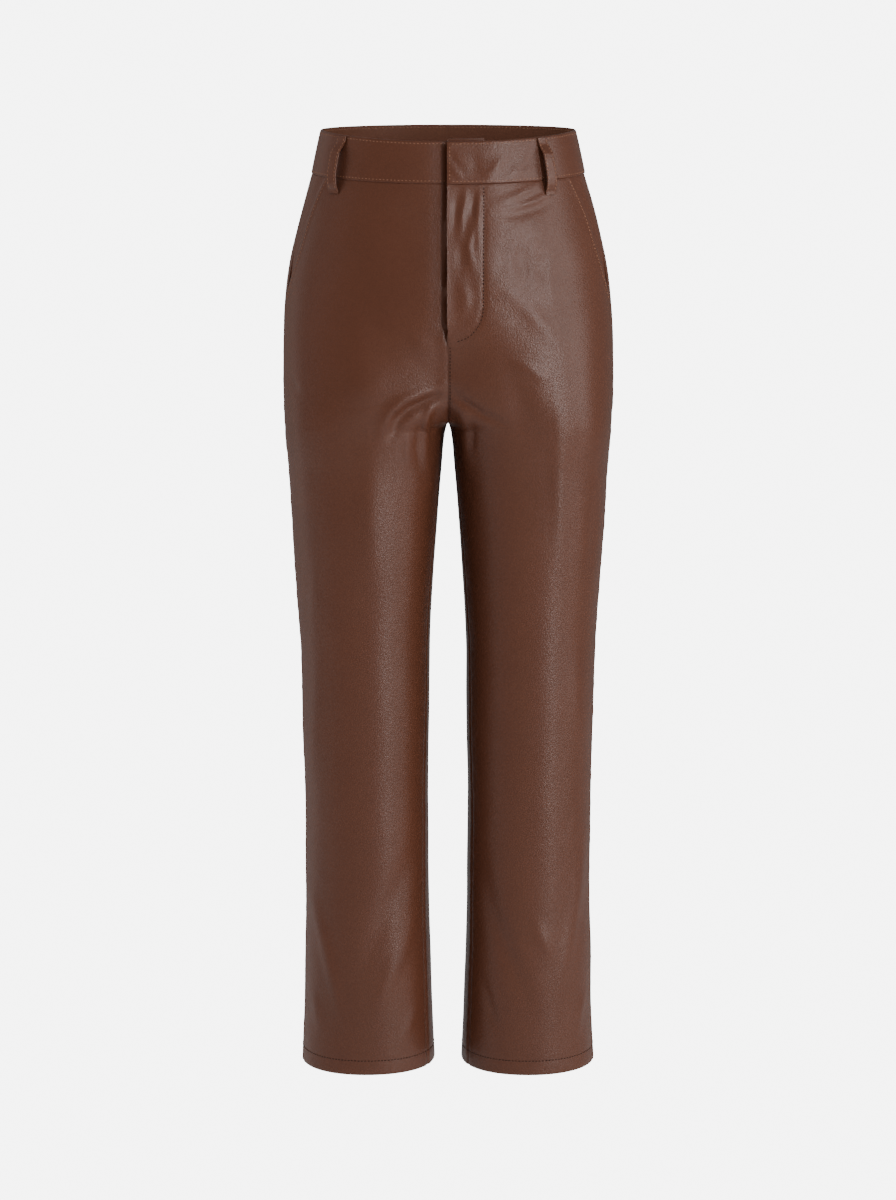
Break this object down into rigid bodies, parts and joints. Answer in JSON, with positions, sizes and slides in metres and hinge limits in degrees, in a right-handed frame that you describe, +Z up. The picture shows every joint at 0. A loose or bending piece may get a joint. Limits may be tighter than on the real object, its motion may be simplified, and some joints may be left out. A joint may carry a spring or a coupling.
{
  "type": "faux leather trousers",
  "caption": "High waisted straight leg faux leather trousers with a lapped fly, slanting pockets and belt loops, hollow and filled out as if worn.",
  "frame": {"origin": "on the body's upright axis at mid height of the waistband, where the trousers are held", "axes": "+Z up, -Y the wearer's front, -X the wearer's right"},
  "size_m": [0.3362, 0.2477, 0.9715],
  "materials": {
    "leather": "satin, fine grain",
    "tape": "woven tape",
    "metal": "brushed"
  },
  "bodies": {
    "root": {"front_right": "leather", "front_left": "leather", "back_right": "leather", "back_left": "leather", "waistband_right": "leather", "waistband_left": "leather", "belt_loop_front_right": "leather", "belt_loop_front_left": "leather", "belt_loop_back_right": "leather", "belt_loop_back_left": "leather", "belt_loop_back_centre": "leather", "pocket_side_right": "leather", "pocket_side_left": "leather", "zip_slider": "metal", "hook": "metal", "bar": "metal", "zip": "tape"}
  },
  "joints": []
}
